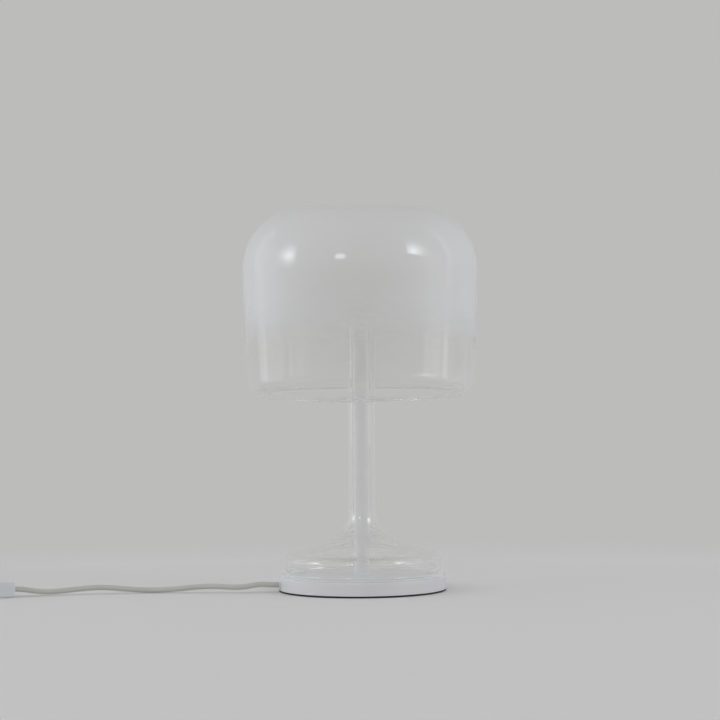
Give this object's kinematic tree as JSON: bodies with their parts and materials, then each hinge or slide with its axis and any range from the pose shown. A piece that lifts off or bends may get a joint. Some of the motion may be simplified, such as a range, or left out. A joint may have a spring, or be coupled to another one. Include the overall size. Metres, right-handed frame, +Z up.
{
  "type": "bedside lamp",
  "caption": "Bedside lamp with a blown glass dome, opal at its crown and clear at its rim, on a glass stem and flared foot over a white base, with an inline rocker switch in its cord.",
  "frame": {"origin": "on the lamp's vertical axis, at the underside of the base pad", "axes": "+Z up along the lamp's axis, the front faces -Y, the cord leaves towards -X"},
  "size_m": [0.6417, 0.242, 0.4],
  "materials": {
    "opal_glass": "polished, opal above and clear below",
    "clear_glass": "polished",
    "white_lacquer": "satin lacquer",
    "black_pad": "matte foam rubber",
    "plain_steel": "zinc plated",
    "soft_seal": "matte silicone",
    "holder_plastic": "moulded",
    "insert_plastic": "moulded",
    "brass": "bare",
    "bulb_glass": "opal",
    "bulb_plastic": "moulded",
    "bulb_metal": "bare",
    "white_wire": "satin lacquer",
    "white_flex": "soft vinyl",
    "core_brown": "vinyl",
    "core_blue": "vinyl",
    "switch_plastic": "fine satin",
    "tie_band": "moulded",
    "plug_plastic": "fine satin",
    "pin_plastic": "moulded",
    "plated_brass": "nickel plated"
  },
  "bodies": {
    "lamp": {"glass_foot": "clear_glass", "sleeve_tube": "white_lacquer", "base_pan": "white_lacquer", "stem_cap": "white_lacquer", "base_pad": "black_pad", "base_cover": "plain_steel", "cover_screws": "plain_steel", "threaded_rod": "plain_steel", "base_washer": "plain_steel", "base_nut": "plain_steel", "cap_nut": "plain_steel", "clamp_nuts": "plain_steel", "switch_screws": "plain_steel", "foot_gasket": "soft_seal", "stem_gasket": "soft_seal", "carrier_tips": "soft_seal", "cord_grommet": "soft_seal", "holder_cap": "holder_plastic", "holder_body": "holder_plastic", "carrier_ring": "holder_plastic", "cord_clamp": "holder_plastic", "holder_insert": "insert_plastic", "holder_shell": "brass", "holder_contact": "brass", "terminal_screws": "brass", "switch_terminals": "brass", "switch_blade": "brass", "bulb_globe": "bulb_glass", "bulb_insulator": "bulb_glass", "bulb_neck": "bulb_plastic", "bulb_shell": "bulb_metal", "bulb_tip": "bulb_metal", "shade_carrier": "white_wire", "cord_inner": "white_flex", "cord_to_switch": "white_flex", "cord_to_coil": "white_flex", "cord_coil": "white_flex", "cord_to_plug": "white_flex", "core_brown": "core_brown", "core_blue": "core_blue", "switch_base": "switch_plastic", "switch_cover": "switch_plastic", "cord_tie": "tie_band", "plug_body": "plug_plastic", "pin_sleeves": "pin_plastic", "plug_pins": "plated_brass"},
    "shade": {"glass_shade": "opal_glass"},
    "rocker": {"switch_rocker": "switch_plastic"}
  },
  "joints": [
    {"name": "shade_lift", "type": "slide", "parent": "lamp", "child": "shade", "axis": [0, 0, 1], "range_m": [0, 0.2]},
    {"name": "rocker_tilt", "type": "hinge", "parent": "lamp", "child": "rocker", "pos_m": [-0.38755, -0.04204, 0.012], "axis": [0.2419, -0.9703, 0], "range_deg": [0, 14]}
  ]
}
